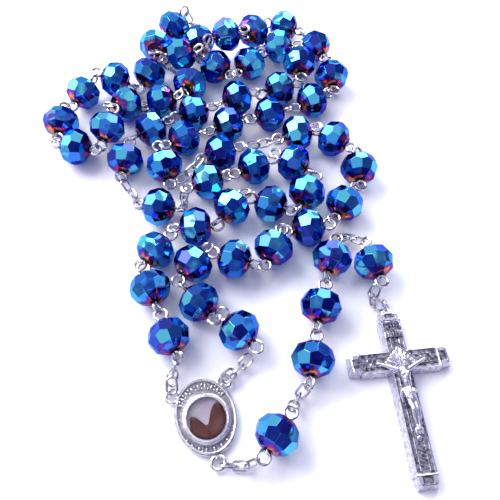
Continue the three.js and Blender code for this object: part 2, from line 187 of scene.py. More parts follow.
def set_ramp(node, stops):
    """Gives a ColorRamp its stops: (place, linear colour), in order."""
    elements = node.color_ramp.elements
    while len(elements) < len(stops):
        elements.new(1.0)
    for element, (place, colour) in zip(elements, stops):
        element.position = place
        element.color = colour
    return node


def frame_matrix(centre, along, normal):
    """The placing that takes local X to `along` and local Z near `normal`, at `centre`, in millimetres."""
    x = Vector(along).normalized()
    z = Vector(normal) - x * Vector(normal).dot(x)
    z.normalize()
    y = z.cross(x)
    matrix = Matrix((x, y, z)).transposed().to_4x4()
    matrix.translation = centre
    return matrix


def make_piece(bm, name, material, body, smooth_angle=None, replaced=()):
    """Turns a bmesh in millimetres into a finished piece in metres that rides on a CAD body."""
    bmesh.ops.scale(bm, vec=(MM, MM, MM), verts=bm.verts)
    mesh = bpy.data.meshes.new(name)
    bm.to_mesh(mesh)
    bm.free()
    if smooth_angle is not None:
        mesh.shade_smooth()
        mesh.set_sharp_from_angle(angle=math.radians(smooth_angle))
    mesh.materials.append(material)
    piece = bpy.data.objects.new(name, mesh)
    bpy.context.scene.collection.objects.link(piece)
    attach(piece, body)
    if replaced:
        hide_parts(*replaced)
    return piece


def settings():
    return bpy.context.scene.rosary


# ---------------------------------------------------------------- the strand, read from the frame


class Bead:
    """A bead's place, in millimetres: its centre, and its bore's direction along the strand."""

    def __init__(self, name, body, centre, axis):
        self.name = name
        self.body = body
        self.centre = Vector(centre)
        self.axis = Vector(axis).normalized()

    @property
    def entry(self):
        return self.centre - self.axis * EYE_REACH

    @property
    def exit(self):
        return self.centre + self.axis * EYE_REACH


def node_points(name):
    """A CAD node's vertices, each once, in millimetres."""
    points = {tuple(round(c / MM, 3) for c in v.co) for v in frame["nodes"][name].data.vertices}
    return np.array(sorted(points))


def joint_place(name):
    joint = next(j for j in frame["joints"] if j["name"] == name)
    return Vector(joint["pos_m"]) / MM


def loop_beads():
    """The loop's beads in strand order: the spin joints were listed that way."""
    beads = []
    for joint in frame["joints"]:
        if joint["name"].endswith("_spin"):
            beads.append(Bead(joint["child"], joint["child"], Vector(joint["pos_m"]) / MM, joint["axis"]))
    return beads


def pendant_beads(node, count):
    """The beads that are part of one pendant solid, found by their corners.
    The wire has no corners so far from the bore."""
    radius = BEAD_DIAMETER / 2
    points = node_points(node)
    tops = points[points[:, 2] > radius * 1.35]
    found = []
    while len(tops):
        near = np.linalg.norm(tops[:, :2] - tops[0, :2], axis=1) < radius * 2.2
        centre = np.append(tops[near][:, :2].mean(0), radius)
        tops = tops[~near]
        reach = np.linalg.norm(points - centre, axis=1)
        body = points[(reach < radius * 1.3) & (np.abs(points[:, 2] - radius) > radius * 0.3)]
        for _ in range(5):
            centre = body.mean(0)
            spread = body - centre
            wide = spread[np.linalg.norm(spread, axis=1) > radius * 0.9]
            axis = np.linalg.eigh(wide.T @ wide)[1][:, 0]
            spread = points - centre
            along = spread @ axis
            off = np.linalg.norm(spread - np.outer(along, axis), axis=1)
            body = points[(off > 1.2) & (off < radius * 1.08) & (np.abs(along) < BEAD_LENGTH / 2 + 0.4)]
        found.append((body.mean(0), axis))
    if len(found) != count:
        raise RuntimeError(f"{node}: found {len(found)} beads, expected {count}")
    return [Bead(node, node, centre, axis) for centre, axis in found]


def in_order(beads, start):
    """Sorts beads by nearness along the strand from `start`, and points each bore away from it."""
    ordered = []
    while beads:
        beads.sort(key=lambda bead: (bead.centre - start).length)
        bead = beads.pop(0)
        if (bead.exit - start).length < (bead.entry - start).length:
            bead.axis = -bead.axis
        ordered.append(bead)
        start = bead.exit
    return ordered


def wire_knots():
    """The loop wire's corners, in order. The tube is walked ring by ring, from its end at the left ear."""
    bm = bmesh.new()
    bm.from_mesh(frame["nodes"]["loop_wire"].data)
    bmesh.ops.remove_doubles(bm, verts=bm.verts, dist=1e-6)
    ends = [v for v in bm.verts if v.co.z < HOOK_END * MM]
    middle = sum(v.co.x for v in ends) / len(ends)
    ring = {v for v in ends if v.co.x < middle}
    seen = set(ring)
    stations = []
    while ring:
        stations.append(sum((v.co for v in ring), Vector()) / len(ring) / MM)
        ring = {e.other_vert(v) for v in ring for e in v.link_edges} - seen
        seen |= ring
    bm.free()
    pairs = stations[1:-1]
    return [stations[0]] + [(a + b) / 2 for a, b in zip(pairs[::2], pairs[1::2])] + [stations[-1]]


# ---------------------------------------------------------------- rings that pass through each other


class Ring:
    """An eye or a link: a flat closed loop that may be turned about its own long direction."""

    def __init__(self, centre, along, radius, stretch=0.0):
        self.centre = Vector(centre)
        self.along = Vector(along).normalized()
        self.radius = radius
        self.stretch = stretch
        self.normal = self.along.orthogonal().normalized()

    def matrix(self):
        return frame_matrix(self.centre, self.along, self.normal)

    def outline(self, steps=28):
        """Points round the middle of the wire."""
        place = self.matrix()
        points = []
        for n in range(steps):
            angle = math.tau * (n + 0.5) / steps
            x, y = self.radius * math.cos(angle), self.radius * math.sin(angle)
            points.append(place @ Vector((x + math.copysign(self.stretch, x), y, 0)))
        return np.array(points)

    def holds(self, outline):
        """How often another ring's outline passes through this one's hole."""
        local = (np.array(self.matrix().inverted()) @ np.c_[outline, np.ones(len(outline))].T).T[:, :3]
        after = np.roll(local, -1, axis=0)
        crossing = local[:, 2] * after[:, 2] < 0
        share = local[crossing, 2] / (local[crossing, 2] - after[crossing, 2])
        hit = local[crossing] + (after[crossing] - local[crossing]) * share[:, None]
        beyond = np.maximum(np.abs(hit[:, 0]) - self.stretch, 0)
        return int((np.hypot(beyond, hit[:, 1]) < self.radius).sum())


def turn_to_link(ring, before, prefer):
    """Turns a ring about its long direction until it links the one before with the most room."""
    first = ring.along.cross(prefer)
    first = first.normalized() if first.length > 0.01 else ring.along.orthogonal().normalized()
    best = None
    for step in range(24):
        ring.normal = Quaternion(ring.along, math.pi * step / 24) @ first
        score = 0.15 * abs(ring.normal.dot(UP))
        if before is not None:
            mine, other = ring.outline(), before.outline()
            room = np.linalg.norm(mine[:, None] - other[None], axis=2).min()
            score += room if ring.holds(other) % 2 == 1 else -2.0 + room * 0.1
        if best is None or score > best[0]:
            best = (score, ring.normal.copy())
    ring.normal = best[1]


class Strand:
    """Eyes and links of one strand, each turned to link its neighbour."""

    def __init__(self, start, beads, chains):
        """start is a ring that is there already; chains are lists of link centres,
        keyed by the bead they lead to."""
        wires = settings().wires
        self.eyes = {}
        self.links = {}
        before = start
        for index, bead in enumerate(list(beads) + [None]):
            goal = bead.entry if bead else None
            if index in chains:
                centres = chains[index]
                self.links[index] = []
                ends = list(centres) + [goal if goal is not None else centres[-1] * 2 - centres[-2]]
                for n, centre in enumerate(centres):
                    behind = centres[n - 1] if n else (before.centre if before else centre)
                    ring = Ring(centre, ends[n + 1] - behind, wires.link_width / 2,
                                (wires.link_length - wires.link_width) / 2)
                    turn_to_link(ring, before, UP)
                    self.links[index].append(ring)
                    before = ring
            if bead is None:
                break
            entry = Ring(bead.entry, bead.axis, wires.eye / 2)
            turn_to_link(entry, before, UP)
            leaving = Ring(bead.exit, bead.axis, wires.eye / 2)
            turn_to_link(leaving, None, UP)
            self.eyes[index] = (entry, leaving)
            before = leaving


# ---------------------------------------------------------------- shapes that repeat


def add_ring(bm, ring, wire, gap=0.0):
    """A ring of round wire. A gap in degrees is left open where an eye meets its pin."""
    sides, steps = 8, 28
    section = bmesh.ops.create_circle(bm, cap_ends=gap > 0, radius=wire / 2, segments=sides)
    start = math.radians(gap) / 2 if gap else math.pi / steps
    turn = (Matrix.Rotation(start, 4, "Z") @ Matrix.Translation((ring.radius, 0, 0))
            @ Matrix.Rotation(math.pi / 2, 4, "X"))
    bmesh.ops.transform(bm, matrix=turn, verts=section["verts"])
    first = section["verts"]
    geometry = (list({f for v in first for f in v.link_faces})
                or list({e for v in first for e in v.link_edges}))
    sweep = math.tau - math.radians(gap)
    known = set(bm.verts) - set(first)
    bmesh.ops.spin(bm, geom=geometry, cent=(0, 0, 0), axis=(0, 0, 1), angle=sweep, steps=steps,
                   use_merge=gap == 0)
    made = [v for v in bm.verts if v not in known]
    for vert in made:
        vert.co.x += math.copysign(ring.stretch, vert.co.x)
    flip = Matrix.Rotation(math.pi, 4, "Z") if gap else Matrix.Identity(4)
    bmesh.ops.transform(bm, matrix=ring.matrix() @ flip, verts=made)
    bmesh.ops.recalc_face_normals(bm, faces=list({f for v in made for f in v.link_faces}))


def add_rod(bm, start, end, wire):
    """A straight length of round wire."""
    along = end - start
    place = Matrix.Translation((start + end) / 2) @ UP.rotation_difference(along).to_matrix().to_4x4()
    bmesh.ops.create_cone(
        bm, cap_ends=True, segments=10, radius1=wire / 2, radius2=wire / 2, depth=along.length, matrix=place
    )


def add_pin(bm, bead, eyes, wires):
    """One eye pin: straight through the bead, with an eye turned at each end."""
    stem = bead.axis * (EYE_REACH - wires.eye / 2)
    add_rod(bm, bead.centre - stem, bead.centre + stem, wires.pin)
    entry, leaving = eyes
    inward = Ring(entry.centre, -entry.along, entry.radius)
    inward.normal = entry.normal
    for ring in (inward, leaving):
        add_ring(bm, ring, wires.pin, gap=24.0)


def cut(bm, point, normal):
    """Grinds one flat facet: everything beyond the plane goes, and the cut is closed."""
    geometry = bm.verts[:] + bm.edges[:] + bm.faces[:]
    result = bmesh.ops.bisect_plane(bm, geom=geometry, dist=1e-5, plane_co=point, plane_no=normal,
                                    clear_outer=True)
    edges = [e for e in result["geom_cut"] if isinstance(e, bmesh.types.BMEdge) and e.is_boundary]
    if edges:
        bmesh.ops.holes_fill(bm, edges=edges)


def faceted_bead(beads):
    """One rondelle, its bore along Z: each half has a row of end facets and a row of main facets,
    and the halves are ground half a facet apart, so the girdle runs in a zigzag."""
    radius, half = BEAD_DIAMETER / 2, BEAD_LENGTH / 2
    flat = math.cos(math.pi / FACETS_ROUND)
    girdle, shoulder = (radius, -0.4), (0.836 * radius, 0.667 * half)
    rim = (beads.end_face / 2, half)
    bm = bmesh.new()
    bmesh.ops.create_cone(bm, cap_ends=True, segments=FACETS_ROUND * 4, radius1=radius * 1.3,
                          radius2=radius * 1.3, depth=BEAD_LENGTH)
    # The main facet passes through the girdle's corners, on both sides of the middle.
    for lower, upper in (((girdle[0], -girdle[1]), shoulder), (shoulder, rim)):
        slope = Vector((upper[1] - lower[1], 0, (lower[0] - upper[0]) * flat)).normalized()
        for side in (1, -1):
            for n in range(FACETS_ROUND):
                turn = Matrix.Rotation(math.tau * (n + (0.5 if side < 0 else 0)) / FACETS_ROUND, 3, "Z")
                point = turn @ Vector((upper[0] * flat, 0, upper[1] * side))
                normal = turn @ Vector((slope.x, 0, slope.z * side))
                cut(bm, point, normal)
    bmesh.ops.remove_doubles(bm, verts=bm.verts, dist=1e-4)
    bmesh.ops.dissolve_limit(bm, angle_limit=math.radians(0.5), verts=bm.verts, edges=bm.edges)
    crease = [e for e in bm.edges if e.calc_length() > beads.edge * 3]
    bmesh.ops.bevel(bm, geom=crease, offset=beads.edge, offset_type="OFFSET", segments=1, profile=0.5,
                    affect="EDGES", material=-1, clamp_overlap=True)
    bore = []
    for face in sorted(bm.faces, key=lambda f: abs(f.normal.z))[-2:]:
        inset = beads.end_face / 2 * flat - beads.hole / 2
        bmesh.ops.inset_individual(bm, faces=[face], thickness=inset)
        bmesh.ops.inset_individual(bm, faces=[face], thickness=0.12, depth=-0.35)
        bore.append(face)
    edges = [e for face in bore for e in face.edges]
    bmesh.ops.delete(bm, geom=bore, context="FACES_ONLY")
    bmesh.ops.bridge_loops(bm, edges=edges)
    bmesh.ops.recalc_face_normals(bm, faces=bm.faces)
    return bm


# ---------------------------------------------------------------- materials


def coated_glass(beads):
    """Faceted crystal glass with a metallic vapour coating: mirror-smooth blue that clips to cyan in bright
    reflections, goes violet at a glancing angle, and blooms gold and magenta where it thins at the hole."""
    material, tree = new_material("coated_crystal_glass")
    place = add_node(tree, "ShaderNodeAttribute", {"attribute_name": "bead_place"})
    facet = add_node(tree, "ShaderNodeAttribute", {"attribute_name": "facet"})
    split = add_node(tree, "ShaderNodeSeparateXYZ", inputs={"Vector": place.outputs["Vector"]})
    height = add_node(tree, "ShaderNodeMath", {"operation": "ABSOLUTE"}, {0: split.outputs["Z"]})
    cloud = add_node(tree, "ShaderNodeTexNoise", {"noise_dimensions": "4D"}, {
        "Vector": place.outputs["Vector"], "W": facet.outputs["Fac"], "Scale": 0.45, "Detail": 2.0,
    })
    drift = add_node(tree, "ShaderNodeMapRange", inputs={
        "Value": cloud.outputs["Fac"], "From Min": 0.3, "From Max": 0.7, "To Min": -0.95, "To Max": 0.45,
    })
    reach = add_node(tree, "ShaderNodeMath", {"operation": "ADD"}, {
        0: height.outputs[0], 1: drift.outputs[0],
    })
    along = add_node(tree, "ShaderNodeMath", {"operation": "DIVIDE"}, {
        0: reach.outputs[0], 1: BEAD_LENGTH / 2,
    })
    ramp = add_node(tree, "ShaderNodeValToRGB", inputs={"Fac": along.outputs[0]})
    shade = set_ramp(add_node(tree, "ShaderNodeValToRGB", inputs={"Fac": facet.outputs["Fac"]}), [
        (0.1, linear(beads.coating_deep)), (0.5, linear(beads.coating)), (1.0, linear(beads.coating_thin)),
    ])
    set_ramp(ramp, [
        (0.66, (0.0, 0.0, 0.0, 0.0)), (0.78, (*linear(beads.bloom_outer)[:3], 1.0)),
        (0.88, linear(beads.bloom_middle)), (1.0, linear(beads.bloom_inner)),
    ])
    tint = add_node(tree, "ShaderNodeMix", {"data_type": "RGBA"}, {
        "Factor": ramp.outputs["Alpha"], 6: shade.outputs["Color"], 7: ramp.outputs["Color"],
    })
    spread = add_node(tree, "ShaderNodeVectorMath", {"operation": "MULTIPLY"}, {
        0: place.outputs["Vector"], 1: (1, 1, 0),
    })
    width = add_node(tree, "ShaderNodeVectorMath", {"operation": "LENGTH"}, {0: spread.outputs["Vector"]})
    inside = add_node(tree, "ShaderNodeMath", {"operation": "LESS_THAN"}, {
        0: width.outputs["Value"], 1: beads.hole / 2 + 0.35,
    })
    base = add_node(tree, "ShaderNodeMix", {"data_type": "RGBA"}, {
        "Factor": inside.outputs[0], 6: tint.outputs[2], 7: linear(beads.bore),
    })
    rough = add_node(tree, "ShaderNodeMapRange", inputs={
        "Value": inside.outputs[0], "To Min": 0.05, "To Max": 0.5,
    })
    swell = add_node(tree, "ShaderNodeTexNoise", {"noise_dimensions": "4D"}, {
        "Vector": place.outputs["Vector"], "W": facet.outputs["Fac"], "Scale": 0.5, "Detail": 0.0,
    })
    bump = add_node(tree, "ShaderNodeBump", inputs={
        "Height": swell.outputs["Fac"], "Strength": 0.35, "Distance": 0.35 * MM,
    })
    shader = add_node(tree, "ShaderNodeBsdfPrincipled", inputs={
        "Base Color": base.outputs[2], "Metallic": 1.0, "Roughness": rough.outputs[0],
        "Normal": bump.outputs["Normal"],
        "Specular Tint": linear(beads.coating_edge), "Coat Weight": 0.25, "Coat Roughness": 0.02,
    })
    add_node(tree, "ShaderNodeOutputMaterial", inputs={"Surface": shader.outputs[0]})
    return material


def plated_wire(wires):
    """Silver-plated steel wire, drawn and tumbled: bright, with faint lengthwise clouding."""
    material, tree = new_material("silver_plated_wire")
    spot = add_node(tree, "ShaderNodeTexCoord")
    cloud = add_node(tree, "ShaderNodeTexNoise", inputs={
        "Vector": spot.outputs["Object"], "Scale": 900.0, "Detail": 3.0,
    })
    rough = add_node(tree, "ShaderNodeMapRange", inputs={
        "Value": cloud.outputs["Fac"], "To Min": 0.12, "To Max": 0.32,
    })
    shader = add_node(tree, "ShaderNodeBsdfPrincipled", inputs={
        "Base Color": linear(wires.silver), "Metallic": 1.0, "Roughness": rough.outputs[0],
    })
    add_node(tree, "ShaderNodeOutputMaterial", inputs={"Surface": shader.outputs[0]})
    return material


def antique_silver(name, bright, dark, grain):
    """Cast white metal, darkened and then wiped: bright on what stands up, dark in the hollows."""
    material, tree = new_material(name)
    spot = add_node(tree, "ShaderNodeTexCoord")
    hollow = add_node(tree, "ShaderNodeAttribute", {"attribute_name": "hollow"})
    cloud = add_node(tree, "ShaderNodeTexNoise", inputs={
        "Vector": spot.outputs["Object"], "Scale": grain / 2, "Detail": 4.0,
    })
    patch = add_node(tree, "ShaderNodeMapRange", inputs={
        "Value": cloud.outputs["Fac"], "From Min": 0.35, "From Max": 0.75, "To Min": -0.3, "To Max": 0.45,
    })
    depth = add_node(tree, "ShaderNodeMath", {"operation": "ADD", "use_clamp": True},
                     {0: hollow.outputs["Fac"], 1: patch.outputs[0]})
    colour = add_node(tree, "ShaderNodeMix", {"data_type": "RGBA"},
                      {"Factor": depth.outputs[0], 6: linear(bright), 7: linear(dark)})
    rough = add_node(tree, "ShaderNodeMapRange", inputs={
        "Value": depth.outputs[0], "To Min": 0.2, "To Max": 0.5,
    })
    metal = add_node(tree, "ShaderNodeMapRange", inputs={
        "Value": depth.outputs[0], "To Min": 1.0, "To Max": 0.35,
    })
    fine = add_node(tree, "ShaderNodeTexNoise", inputs={
        "Vector": spot.outputs["Object"], "Scale": grain, "Detail": 3.0,
    })
    bump = add_node(tree, "ShaderNodeBump", inputs={
        "Height": fine.outputs["Fac"], "Strength": 0.45, "Distance": 0.1 * MM,
    })
    shader = add_node(tree, "ShaderNodeBsdfPrincipled", inputs={
        "Base Color": colour.outputs[2], "Metallic": metal.outputs[0], "Roughness": rough.outputs[0],
        "Normal": bump.outputs["Normal"],
    })
    add_node(tree, "ShaderNodeOutputMaterial", inputs={"Surface": shader.outputs[0]})
    return material


def clear_resin():
    """The clear dome over the earth."""
    material, tree = new_material("clear_resin_dome")
    shader = add_node(tree, "ShaderNodeBsdfPrincipled", inputs={
        "Base Color": (0.95, 0.93, 0.95, 1), "Transmission Weight": 1.0, "Roughness": 0.04, "IOR": 1.15,
    })
    add_node(tree, "ShaderNodeOutputMaterial", inputs={"Surface": shader.outputs[0]})
    return material


def earth(medal):
    """Reddish-brown soil, clotted and grainy."""
    material, tree = new_material("reddish_earth")
    spot = add_node(tree, "ShaderNodeTexCoord")
    grains = add_node(tree, "ShaderNodeTexNoise", inputs={
        "Vector": spot.outputs["Object"], "Scale": 3000.0, "Detail": 4.0,
    })
    ramp = add_node(tree, "ShaderNodeValToRGB", inputs={"Fac": grains.outputs["Fac"]})
    set_ramp(ramp, [
        (0.3, linear(medal.soil_dark)), (0.52, linear(medal.soil)), (0.78, linear(medal.soil_light)),
    ])
    bump = add_node(tree, "ShaderNodeBump", inputs={
        "Height": grains.outputs["Fac"], "Strength": 0.6, "Distance": 0.15 * MM,
    })
    shader = add_node(tree, "ShaderNodeBsdfPrincipled", inputs={
        "Base Color": ramp.outputs["Color"], "Roughness": 0.85, "Normal": bump.outputs["Normal"],
    })
    add_node(tree, "ShaderNodeOutputMaterial", inputs={"Surface": shader.outputs[0]})
    return material


def pale_lining(medal):
    """The grey card behind the earth."""
    material, tree = new_material("grey_lining")
    shader = add_node(tree, "ShaderNodeBsdfPrincipled", inputs={
        "Base Color": linear(medal.lining), "Roughness": 0.5,
    })
    add_node(tree, "ShaderNodeOutputMaterial", inputs={"Surface": shader.outputs[0]})
    return material


# ---------------------------------------------------------------- the medal's and the crucifix's shapes


def ease(value, low, high):
    """0 below `low`, 1 above `high`, and smooth between."""
    share = np.clip((value - low) / (high - low), 0, 1)
    return share * share * (3 - 2 * share)


def ridge(value, centre, half_width):
    """A rounded ridge along the line where `value` is `centre`."""
    return np.clip(1 - ((value - centre) / half_width) ** 2, 0, 1)


def cross_relief(x, y):
    """Height of the crucifix's face over its back: rim, panels, title plate, sunburst and carved foot."""
    half = CROSS_FACE / 2
    on_beam = np.abs(y) > half
    nearer = np.where(np.abs(x) > half, np.abs(y), np.minimum(np.abs(x), np.abs(y)))
    across = np.where(on_beam, np.abs(x), nearer)
    from_side = half - across
    end = np.where(on_beam, np.where(y > 0, CROSS_TOP - y, y + CROSS_FOOT), CROSS_SPAN - np.abs(x))
    z = 1.8 + 0.55 * ridge(from_side, 0.16, 0.22) + 0.4 * ridge(from_side, 0.98, 0.13) * (end > 2.2)
    # Arm ends: a moulding across, then a block with a sunk middle.
    sunk = 0.6 * (1 - ease(across, 0.8, 1.1)) * ease(end, 0.2, 0.45)
    z = np.where(end < END_BLOCK, 2.35 - 0.12 * ease(-end, -0.4, 0.0) - sunk, z)
    z = np.maximum(z, 2.45 * ridge(end, 1.72, 0.3) ** 0.25)
    z = z + 0.3 * ridge(end, 2.55, 0.15) * (across < 0.9) * (np.abs(x) > half)
    # Leaf scrolls in the side panels.
    panel = (np.abs(x) > 3.9) & (np.abs(x) < 6.3) & (across < 0.62)
    scroll = np.sin(np.abs(x) * 6.5 + 1.9 * np.sin(y * 3.4))
    z = z + panel * 0.5 * np.clip(scroll - 0.15, 0, 1)
    # Ribs like a braid on the foot's panel, under a plain boss.
    braid = (y < -14.5) & (y > -18.7) & (across < 0.66)
    z = z + braid * 0.5 * np.clip(np.sin((y + 0.5 * x) * math.tau / 0.66) + 0.1, 0, 1)
    boss = np.hypot(x - 0.1, y + 13.75) / 0.62
    z = np.maximum(z, 2.1 + 0.75 * np.sqrt(np.clip(1 - boss**2, 0, 1)) * (boss < 1))
    # Title plate: two rows of upright ribs between rolled ends. It carries no lettering.
    plate = (np.abs(x) < 1.55) & (y > 4.3) & (y < 7.3)
    ribs = np.clip(np.cos(x * math.tau / 0.52 + (y > 5.8) * 1.9), 0, 1) * ridge(np.abs(y - 5.8), 0.78, 0.6)
    z = np.where(plate, 2.1 + 0.5 * ribs + 0.45 * ridge(np.abs(y - 5.8), 1.4, 0.14), z)
    z = np.where((np.abs(y - 7.9) < 0.2) & (across < 1.3), 2.5, z)
    # Sunburst behind the head, in a lozenge.
    lozenge = 1 - (np.abs(x) + np.abs(y + 0.4)) / LOZENGE
    angle = np.arctan2(y + 0.9, x - 0.1)
    rays = 0.5 + 0.5 * np.cos(angle * 18)
    burst = 2.3 + 0.32 * rays * ease(lozenge, 0.1, 0.25) + 0.3 * ridge(lozenge, 0.04, 0.04)
    return np.where(lozenge > 0, np.maximum(burst, z - 0.1), z)


def mitres(bm, edges):
    """Outward direction at each vertex of a flat outline, long enough to keep its sides parallel."""
    sums = {}
    for edge in edges:
        inside = edge.link_faces[0].calc_center_median()
        a, b = edge.verts
        normal = Vector((b.co.y - a.co.y, a.co.x - b.co.x, 0)).normalized()
        if normal.dot(a.co - inside) < 0:
            normal = -normal
        for vert in edge.verts:
            sums.setdefault(vert, []).append(normal)
    return {v: sum(n, Vector()) / (1 + n[0].dot(n[-1])) for v, n in sums.items()}


def cross_block():
    """The cross: its carved face as a fine grid, over sloping sides and a flat back."""
    bm = bmesh.new()
    hollow = bm.verts.layers.float.new("hollow")
    step = 0.1
    half, span = round(CROSS_FACE / 2 / step), round(CROSS_SPAN / step)
    top, foot = round(CROSS_TOP / step), round(CROSS_FOOT / step)
    cells = [(i, j) for i in range(-span, span) for j in range(-foot, top)
             if -half <= i < half or -half <= j < half]
    spots = sorted({(i + a, j + b) for i, j in cells for a in (0, 1) for b in (0, 1)})
    flat = np.array(spots) * step
    heights = cross_relief(flat[:, 0], flat[:, 1])
    verts = {}
    for (i, j), (x, y), z in zip(spots, flat, heights):
        verts[i, j] = bm.verts.new((x, y, z))
    for i, j in cells:
        bm.faces.new([verts[i, j], verts[i + 1, j], verts[i + 1, j + 1], verts[i, j + 1]])
    outward = mitres(bm, [e for e in bm.edges if e.is_boundary])
    for vert in bm.verts:
        vert[hollow] = min(max((2.36 - vert.co.z) / 0.32, 0), 1) if vert not in outward else 0.2
    # The arm ends step in, and their corners are cut.
    for vert in bm.verts:
        x, y, _ = vert.co
        on_beam = abs(y) > CROSS_FACE / 2
        end = (CROSS_TOP - y if y > 0 else y + CROSS_FOOT) if on_beam else CROSS_SPAN - abs(x)
        if end < END_BLOCK:
            narrow = 0.86 - 0.34 * max(0.0, 0.5 - end)
            if on_beam:
                vert.co.x *= narrow
            else:
                vert.co.y *= narrow
    rim = [e for e in bm.edges if e.is_boundary]
    for spread, height in ((0.5, 0.45), (0.0, -1.0), (-0.15, -1.0)):
        before = {v for e in rim for v in e.verts}
        made = bmesh.ops.extrude_edge_only(bm, edges=rim)["geom"]
        rim = [e for e in made if isinstance(e, bmesh.types.BMEdge) and e.is_boundary]
        fresh = {v for e in rim for v in e.verts}
        following = {}
        for vert in fresh:
            source = next(e.other_vert(vert) for e in vert.link_edges if e.other_vert(vert) in before)
            following[vert] = outward[source]
            vert.co += outward[source] * spread
            vert.co.z = height if height > 0 else (0.12 if spread == 0.0 else 0.0)
            vert[hollow] = 0.12
        outward = following
    bmesh.ops.holes_fill(bm, edges=rim)
    bmesh.ops.recalc_face_normals(bm, faces=bm.faces)
    return bm


def add_blob(bm, *knots):
    """A string of overlapping balls through (x, y, z, radius) knots: raw shape for the modelled figure."""
    for (ax, ay, az, ar), (bx, by, bz, br) in zip(knots, knots[1:] or knots):
        a, b = Vector((ax, ay, az)), Vector((bx, by, bz))
        count = max(2, math.ceil((b - a).length / 0.16))
        for n in range(count + 1):
            share = n / count
            radius = ar + (br - ar) * share
            bmesh.ops.create_icosphere(bm, subdivisions=2, radius=radius,
                                       matrix=Matrix.Translation(a.lerp(b, share)))


def merged(bm, detail):
    """All the overlapping shapes as one skin."""
    mesh = bpy.data.meshes.new("raw")
    bm.to_mesh(mesh)
    bm.free()
    raw = bpy.data.objects.new("raw", mesh)
    bpy.context.scene.collection.objects.link(raw)
    remesh = raw.modifiers.new("skin", "REMESH")
    remesh.mode = "VOXEL"
    remesh.voxel_size = detail
    skinned = raw.evaluated_get(bpy.context.evaluated_depsgraph_get())
    result = bmesh.new()
    result.from_mesh(skinned.to_mesh())
    bpy.data.objects.remove(raw)
    bpy.data.meshes.remove(mesh)
    return result


def mark_hollows(bm, gain):
    """Stores how deep in a crease each vertex is, for the dark antiquing."""
    hollow = bm.verts.layers.float.new("hollow")
    bm.normal_update()
    depth = {}
    for vert in bm.verts:
        around = [e.other_vert(vert) for e in vert.link_edges]
        middle = sum((v.co for v in around), Vector()) / len(around)
        depth[vert] = (middle - vert.co).dot(vert.normal)
    for _ in range(3):
        depth = {v: (d + sum(depth[e.other_vert(v)] for e in v.link_edges)) / (len(v.link_edges) + 1)
                 for v, d in depth.items()}
    for vert, value in depth.items():
        vert[hollow] = min(max(value * gain, 0), 1)


def figure():
    """The corpus, modelled in the round and simply: a bowed head with a calm, plain face."""
    bm = bmesh.new()
    add_blob(bm, (0.05, -2.2, 3.0, 0.78), (0.1, -3.5, 3.15, 0.88), (0.2, -5.1, 2.95, 0.64),
             (0.05, -6.2, 3.0, 0.9))
    for side in (-1, 1):
        add_blob(bm, (0.07 + 0.42 * side, -2.95, 3.45, 0.56))
        add_blob(bm, (0.07 + 0.28 * side, -4.3, 3.4, 0.42), (0.12 + 0.22 * side, -5.0, 3.3, 0.34))
        add_blob(bm, (1.05 * side, -2.0, 3.05, 0.46), (2.45 * side, -1.25, 2.95, 0.36),
                 (3.75 * side, -0.62, 2.85, 0.25), (4.25 * side, -0.45, 2.8, 0.3))
        add_blob(bm, (0.2 + 0.48 * side, -0.85, 3.35, 0.34), (0.15 + 0.62 * side, -1.75, 3.2, 0.24))
    add_blob(bm, (0.1, -1.9, 3.2, 0.4), (0.18, -1.2, 3.5, 0.5))
    add_blob(bm, (0.22, -1.0, 3.62, 0.6), (0.22, -0.72, 3.62, 0.6))
    add_blob(bm, (0.22, -1.52, 3.85, 0.3), (0.2, -1.8, 3.75, 0.18))
    add_blob(bm, (0.23, -0.86, 4.2, 0.08), (0.23, -1.16, 4.28, 0.12))
    add_blob(bm, (-0.05, -0.8, 4.13, 0.1), (0.5, -0.8, 4.13, 0.1))
    for n in range(11):
        turn = math.pi * n / 10
        add_blob(bm, (0.22 + 0.66 * math.cos(turn), -0.52, 3.55 + 0.66 * math.sin(turn), 0.14))
    # Cloth: a wrapped band, a knot at the hip, and slanting folds.
    add_blob(bm, (-0.75, -5.75, 3.1, 0.6), (0.85, -6.0, 3.1, 0.6))
    add_blob(bm, (-0.1, -6.5, 3.1, 0.95), (0.25, -7.35, 3.1, 0.86))
    add_blob(bm, (-1.15, -5.85, 3.3, 0.42), (-1.3, -6.6, 3.0, 0.36), (-1.25, -7.6, 2.8, 0.2))
    for n in range(4):
        add_blob(bm, (-0.85, -5.9 - 0.36 * n, 3.72, 0.13), (0.1, -6.35 - 0.36 * n, 3.98, 0.14),
                 (0.95, -6.15 - 0.4 * n, 3.62, 0.12))
    for side, knee in ((-1, 3.55), (1, 3.4)):
        add_blob(bm, (0.2 + 0.45 * side, -7.1, 3.1, 0.55), (0.4 + 0.36 * side, -9.2, knee, 0.47),
                 (0.4 + 0.34 * side, -10.3, 3.05, 0.42), (0.35 + 0.22 * side, -11.7, 2.85, 0.27),
                 (0.35 + 0.16 * side, -12.5, 2.95, 0.28))
    bm = merged(bm, 0.085)
    bmesh.ops.smooth_vert(bm, verts=bm.verts, factor=0.5, use_axis_x=True, use_axis_y=True, use_axis_z=True)
    mark_hollows(bm, 55.0)
    return bm


def add_block(bm, size, place, soften=0.08):
    """A box with softened edges."""
    placing = Matrix.Translation(place) @ Matrix.Diagonal((*size, 1))
    made = bmesh.ops.create_cube(bm, size=1, matrix=placing)["verts"]
    edges = list({e for v in made for e in v.link_edges})
    bmesh.ops.bevel(bm, geom=edges, offset=soften, segments=2, profile=0.5, affect="EDGES")


